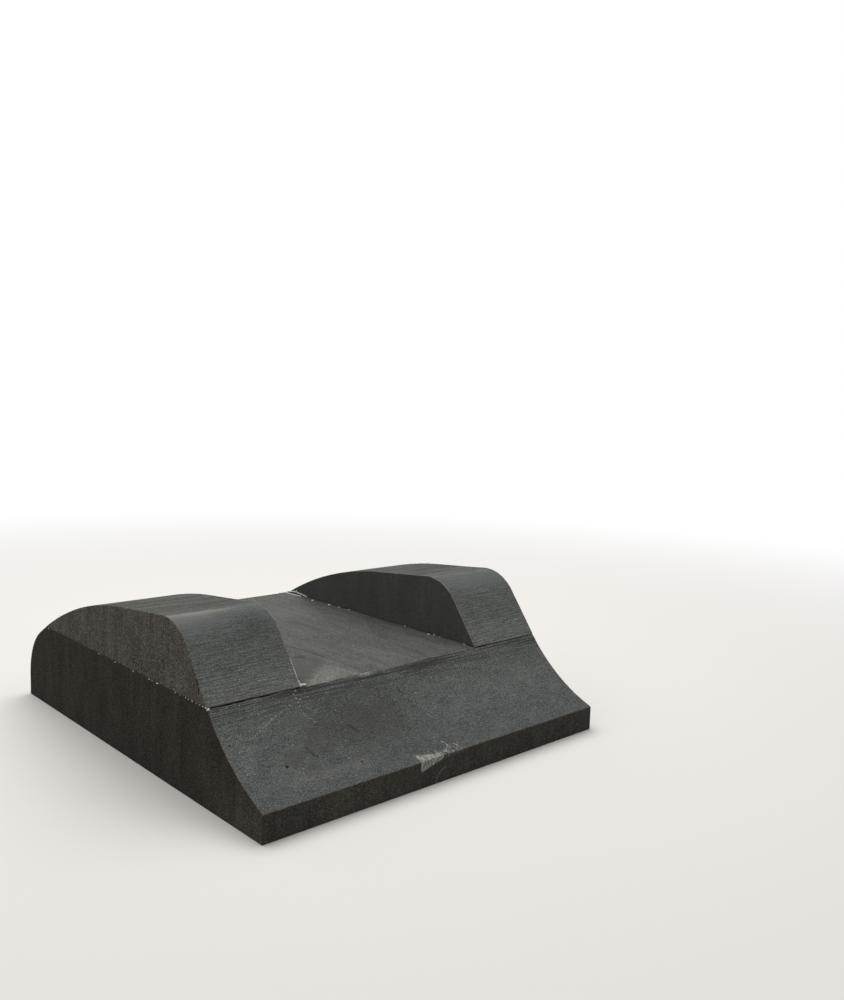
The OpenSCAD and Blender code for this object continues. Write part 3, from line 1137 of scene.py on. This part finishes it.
def thread(shell, points, radius):
    """Adds a thin tube that runs through the given points and is pointed at both ends."""
    line = walk(np.array(points), THREAD_STEP, THREAD_STEP)
    run = np.gradient(line, axis=0)
    run /= np.linalg.norm(run, axis=1)[:, None]
    across = np.cross(run, UP)
    across /= np.linalg.norm(across, axis=1)[:, None]
    up = np.cross(across, run)
    rings = []
    for i in range(1, len(line) - 1):
        turns = [math.tau * k / THREAD_SIDES for k in range(THREAD_SIDES)]
        places = [line[i] + radius * (math.cos(a) * across[i] + math.sin(a) * up[i]) for a in turns]
        rings.append([shell.verts.new(p) for p in places])
    first, last = shell.verts.new(line[0]), shell.verts.new(line[-1])
    for k in range(THREAD_SIDES):
        j = (k + 1) % THREAD_SIDES
        shell.faces.new((first, rings[0][j], rings[0][k]))
        shell.faces.new((last, rings[-1][k], rings[-1][j]))
        for ring, following in zip(rings, rings[1:]):
            shell.faces.new((ring[k], ring[j], following[j], following[k]))


def curl(middle, lot):
    """Points of a short curled thread round a place."""
    heading = lot.uniform(0.0, math.tau)
    points = []
    place = Vector(middle)
    for _ in range(CURL_POINTS):
        points.append(place.copy())
        place += Vector((math.cos(heading), 0.8 * math.sin(heading), 0.0)) * CURL_STEP
        heading += lot.uniform(-1.0, 1.0)
    return points


def on_slope(points):
    """Places moved straight up or down onto the slab's hollow slope, or its edge."""
    line = over_line("base_slab")[1:]
    height = np.interp([p.y for p in points], line[:, 0], line[:, 1])
    return [(p.x, max(p.y, FRONT_Y), z) for p, z in zip(points, height)]


def drop_piece(name, shell, colours, finish):
    """Turns a shell of drops into a piece that rides with the block."""
    mesh = bpy.data.meshes.new(name)
    shell.to_mesh(mesh)
    shell.free()
    mesh.materials.append(foam_materials(colours)[finish])
    mesh.shade_smooth()
    piece = new_object(name, mesh)
    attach(piece, "root")


class FOAMBLOCK_OT_torn_fibres(bpy.types.Operator):
    """Builds the loose fibres at the chip on the front edge"""

    bl_idname = "foam_block.torn_fibres"
    bl_label = "Torn Fibres"

    def execute(self, context):
        shell = bmesh.new()
        for points in FIBRES:
            thread(shell, points, FIBRE_RADIUS)
        lot = random.Random(3)
        for _ in range(LOOSE_THREADS):
            share = lot.uniform(0.0, 1.0)
            middle = Vector(CHIP_START).lerp(Vector(FRAYED_END), share)
            middle += Vector((0.0, lot.uniform(0.0, 0.006), 0.0))
            thread(shell, on_slope(curl(middle, lot)), LOOSE_THREAD_RADIUS)
        drop_piece("torn_fibres", shell, context.scene.foam_colours, "torn_foam")
        return {"FINISHED"}


class FOAMBLOCK_OT_seam_glue(bpy.types.Operator):
    """Builds the specks of glue that were squeezed out along the side seams"""

    bl_idname = "foam_block.seam_glue"
    bl_label = "Seam Glue"

    def execute(self, context):
        shell = bmesh.new()
        for count, (y, long, high) in enumerate(SPECKS_ON_LEFT_SEAM):
            place = (SLAB_LOW.x, y, SEAM_Z - SPECK_DEPTH)
            glue_drop(shell, place, (SPECK_DEPTH, 0.30 * long, 0.28 * high), count)
        lot = random.Random(11)
        for _ in range(SPECKS_ON_RIGHT_SEAM):
            y = lot.uniform(SEAM_FRONT_Y, SEAM_BACK_Y)
            size = lot.uniform(0.0004, 0.0010)
            place = (SLAB_HIGH.x, y, SEAM_Z - SPECK_DEPTH)
            glue_drop(shell, place, (SPECK_DEPTH, size, 0.6 * size), lot.uniform(0, 50))
        drop_piece("glue_specks", shell, context.scene.foam_colours, "dried_glue")
        return {"FINISHED"}


class FOAMBLOCK_OT_glue_beads(bpy.types.Operator):
    """Builds the beads of glue at the bolsters' corners and in the channel"""

    bl_idname = "foam_block.glue_beads"
    bl_label = "Glue Beads"

    def execute(self, context):
        shell = bmesh.new()
        for count, (place, size) in enumerate(GLUE_LUMPS):
            glue_drop(shell, place, size, 3.0 + count)
        for count, (points, radius) in enumerate(GLUE_STRINGS):
            glue_string(shell, points, radius, 10.0 * count)
        for count, (place, radius) in enumerate(GLUE_SPATTER):
            glue_drop(shell, place, (0.9 * radius, 0.75 * radius, 0.75 * radius), 20.0 + count)
        lot = random.Random(5)
        for side in (-1, 1):
            for _ in range(DROPS_IN_CHANNEL):
                y = lot.uniform(SEAM_FRONT_Y + 0.01, SEAM_BACK_Y - 0.05)
                size = lot.uniform(0.0004, 0.0010)
                x = side * (RIGHT_LOW.x - lot.uniform(0.0, 0.004))
                glue_drop(shell, (x, y, SEAM_Z), (size, 1.2 * size, 0.5 * size), lot.uniform(0, 50))
        drop_piece("glue_beads", shell, context.scene.foam_colours, "dried_glue")
        return {"FINISHED"}


def floor_finish(stage):
    """Pale floor that keeps the shadow near the object and fades to white far from it."""
    floor = Finish("pale_floor", 0.9, 0.0)
    rays = floor.nodes.new("ShaderNodeLightPath").outputs
    reflected = floor.math("MAXIMUM", rays["Is Glossy Ray"], rays["Is Transmission Ray"])
    seen = floor.math("MAXIMUM", rays["Is Camera Ray"], reflected)
    colour = floor.mix(seen, shade(stage.bounce, 1.0), shade(stage.floor, 1.0))
    floor.links.new(colour, floor.shader.inputs["Base Color"])
    fade = floor.level(floor.length(floor.place), FADE_START, FADE_END)
    fade = floor.both(fade, seen)
    white = floor.add("ShaderNodeEmission", {"Color": WHITE, "Strength": 1.0})
    mixed = floor.add("ShaderNodeMixShader", {0: fade, 1: floor.shader.outputs[0], 2: white})
    floor.links.new(mixed, floor.nodes["Material Output"].inputs["Surface"])
    return floor.material


def studio_world(strength):
    """White to the eye, and an even soft light on the object."""
    world = bpy.data.worlds.new("studio")
    world.use_nodes = True
    nodes, links = world.node_tree.nodes, world.node_tree.links
    rays = nodes.new("ShaderNodeLightPath").outputs
    reflected = nodes.new("ShaderNodeMath")
    reflected.operation = "MAXIMUM"
    links.new(rays["Is Glossy Ray"], reflected.inputs[0])
    links.new(rays["Is Transmission Ray"], reflected.inputs[1])
    seen = nodes.new("ShaderNodeMath")
    seen.operation = "MAXIMUM"
    links.new(rays["Is Camera Ray"], seen.inputs[0])
    links.new(reflected.outputs[0], seen.inputs[1])
    level = nodes.new("ShaderNodeMapRange")
    level.inputs["To Min"].default_value = strength
    links.new(seen.outputs[0], level.inputs["Value"])
    links.new(level.outputs[0], nodes["Background"].inputs["Strength"])
    nodes["Background"].inputs["Color"].default_value = WHITE
    bpy.context.scene.world = world


def overhead_light(power):
    """Large soft light above the block."""
    lamp = bpy.data.lights.new("overhead", "AREA")
    lamp.shape = "RECTANGLE"
    lamp.size, lamp.size_y = LAMP_SIZE
    lamp.energy = power
    light = new_object("overhead", lamp)
    light.location = LAMP_PLACE
    light.rotation_euler = (Vector(LAMP_PLACE) - Vector(LAMP_AIM)).to_track_quat("Z", "Y").to_euler()


class FOAMBLOCK_OT_stage(bpy.types.Operator):
    """Sets the floor, the light and the camera"""

    bl_idname = "foam_block.stage"
    bl_label = "Stage"

    def execute(self, context):
        stage = context.scene.foam_stage
        disc = bmesh.new()
        bmesh.ops.create_circle(disc, cap_ends=True, segments=96, radius=FLOOR_RADIUS)
        mesh = bpy.data.meshes.new("floor")
        disc.to_mesh(mesh)
        disc.free()
        mesh.materials.append(floor_finish(stage))
        new_object("floor", mesh)
        studio_world(stage.ambient)
        overhead_light(stage.key_power)
        lens = bpy.data.cameras.new("camera")
        lens.sensor_width = FILM_WIDTH
        lens.lens = stage.lens
        camera = new_object("camera", lens)
        aim = Euler((math.pi / 2 - stage.tilt, 0.0, -stage.heading)).to_matrix()
        turn = aim @ Matrix.Rotation(stage.roll, 3, "Z")
        camera.matrix_world = Matrix.Translation(stage.place) @ turn.to_4x4()
        context.scene.camera = camera
        context.scene.view_settings.view_transform = "Standard"
        return {"FINISHED"}


class FOAMBLOCK_PT_panel(bpy.types.Panel):
    """Lists the pieces of the foam block"""

    bl_idname = "FOAMBLOCK_PT_panel"
    bl_label = "Foam Block"
    bl_space_type = "VIEW_3D"
    bl_region_type = "UI"
    bl_category = "Foam Block"

    def draw(self, context):
        for operator in OPERATORS:
            self.layout.operator(operator.bl_idname)


SETTINGS = {"foam_cuts": FoamCutSettings, "foam_colours": FoamColourSettings, "foam_stage": FoamStageSettings}
OPERATORS = (
    FOAMBLOCK_OT_base_slab, FOAMBLOCK_OT_bolsters, FOAMBLOCK_OT_torn_fibres, FOAMBLOCK_OT_seam_glue,
    FOAMBLOCK_OT_glue_beads, FOAMBLOCK_OT_stage,
)
CLASSES = (*SETTINGS.values(), *OPERATORS, FOAMBLOCK_PT_panel)


def register():
    for cls in CLASSES:
        bpy.utils.register_class(cls)
    for name, group in SETTINGS.items():
        setattr(bpy.types.Scene, name, PointerProperty(type=group))


def unregister():
    for name in SETTINGS:
        delattr(bpy.types.Scene, name)
    for cls in reversed(CLASSES):
        bpy.utils.unregister_class(cls)


def main():
    register()
    bpy.ops.foam_block.base_slab()
    bpy.ops.foam_block.bolsters()
    bpy.ops.foam_block.torn_fibres()
    bpy.ops.foam_block.seam_glue()
    bpy.ops.foam_block.glue_beads()
    bpy.ops.foam_block.stage()


if __name__ == "__main__":
    main()
